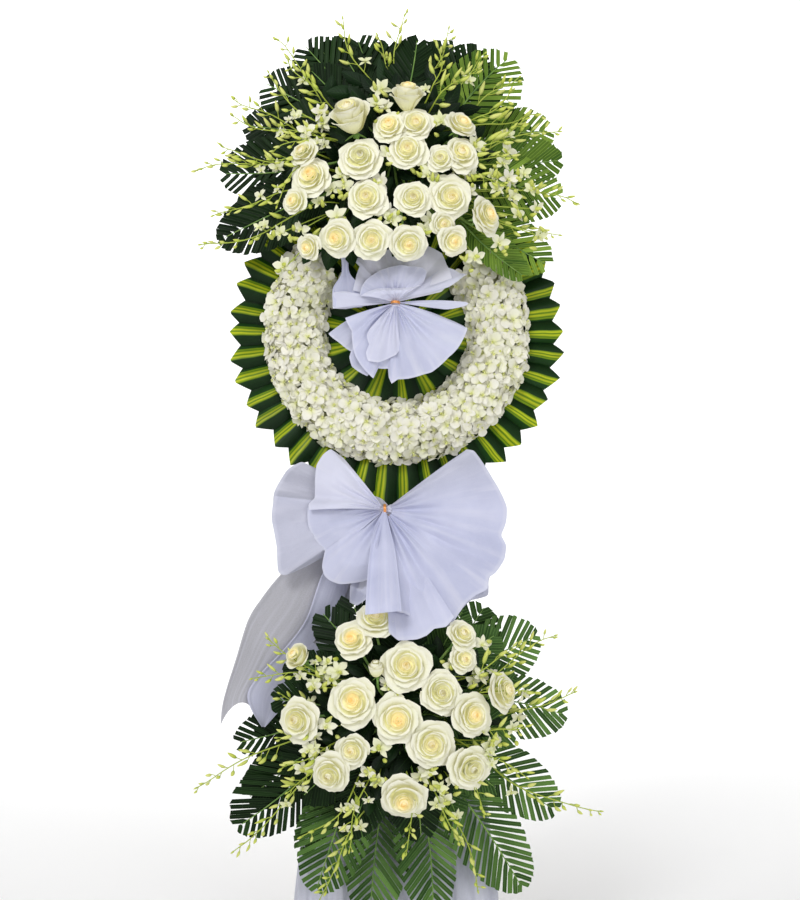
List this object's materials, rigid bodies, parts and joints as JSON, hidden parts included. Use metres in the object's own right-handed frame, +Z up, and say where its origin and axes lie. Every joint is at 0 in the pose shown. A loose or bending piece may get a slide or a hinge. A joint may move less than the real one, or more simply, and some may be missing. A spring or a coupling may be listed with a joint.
{
  "type": "funeral flower stand",
  "caption": "Easel-mounted funeral tribute with rose bouquets, palm fronds, an orchid wreath on striped leaves, organza bows with a long tail, and a cloth skirt.",
  "frame": {"origin": "on the floor, under the middle of the stand's overall box", "axes": "+Z up; -Y towards the viewer, the side that the flowers face; +X to the viewer's right"},
  "size_m": [0.7652, 0.6242, 1.8115],
  "materials": {
    "stand_wood": "matte",
    "board_wood": "matte",
    "foam_green": "matte",
    "striped_leaf": "satin",
    "orchid_white": "satin",
    "palm_green": "satin",
    "rose_cream": "satin",
    "stem_green": "satin",
    "bud_lime": "satin",
    "ribbon_white": "satin",
    "tie_orange": "satin",
    "skirt_white": "matte"
  },
  "bodies": {
    "root": {"backing_board": "board_wood", "base_skirt": "skirt_white", "bow_lower": "ribbon_white", "bow_lower_tie": "tie_orange", "bow_upper": "ribbon_white", "bow_upper_tie": "tie_orange", "foam_bottom": "foam_green", "foam_top": "foam_green", "frond_bottom_a": "palm_green", "frond_bottom_b": "palm_green", "frond_bottom_c": "palm_green", "frond_bottom_d": "palm_green", "frond_bottom_e": "palm_green", "frond_bottom_f": "palm_green", "frond_bottom_g": "palm_green", "frond_bottom_h": "palm_green", "frond_bottom_i": "palm_green", "frond_top_a": "palm_green", "frond_top_b": "palm_green", "frond_top_c": "palm_green", "frond_top_d": "palm_green", "frond_top_e": "palm_green", "frond_top_f": "palm_green", "frond_top_g": "palm_green", "frond_top_h": "palm_green", "frond_top_i": "palm_green", "frond_top_k": "palm_green", "leaf_collar": "striped_leaf", "leaf_rosette": "striped_leaf", "leg_front_left": "stand_wood", "leg_front_right": "stand_wood", "leg_rear": "stand_wood", "orchid_garland": "orchid_white", "rail_lower": "stand_wood", "rail_middle": "stand_wood", "rail_upper": "stand_wood", "roses_bottom_back_right": "rose_cream", "roses_bottom_crown": "rose_cream", "roses_bottom_far_left": "rose_cream", "roses_bottom_left_bud": "rose_cream", "roses_bottom_low": "rose_cream", "roses_bottom_low_left": "rose_cream", "roses_bottom_middle": "rose_cream", "roses_bottom_right": "rose_cream", "roses_top_crown": "rose_cream", "roses_top_far_left": "rose_cream", "roses_top_far_right": "rose_cream", "roses_top_left": "rose_cream", "roses_top_low": "rose_cream", "roses_top_right": "rose_cream", "spray_bottom_left": "bud_lime", "spray_bottom_low": "bud_lime", "spray_bottom_right": "bud_lime", "spray_top_far_left": "bud_lime", "spray_top_far_right": "bud_lime", "spray_top_left": "bud_lime", "spray_top_middle": "bud_lime", "spray_top_right": "bud_lime", "stems_bottom": "stem_green", "stems_top": "stem_green"}
  },
  "joints": []
}
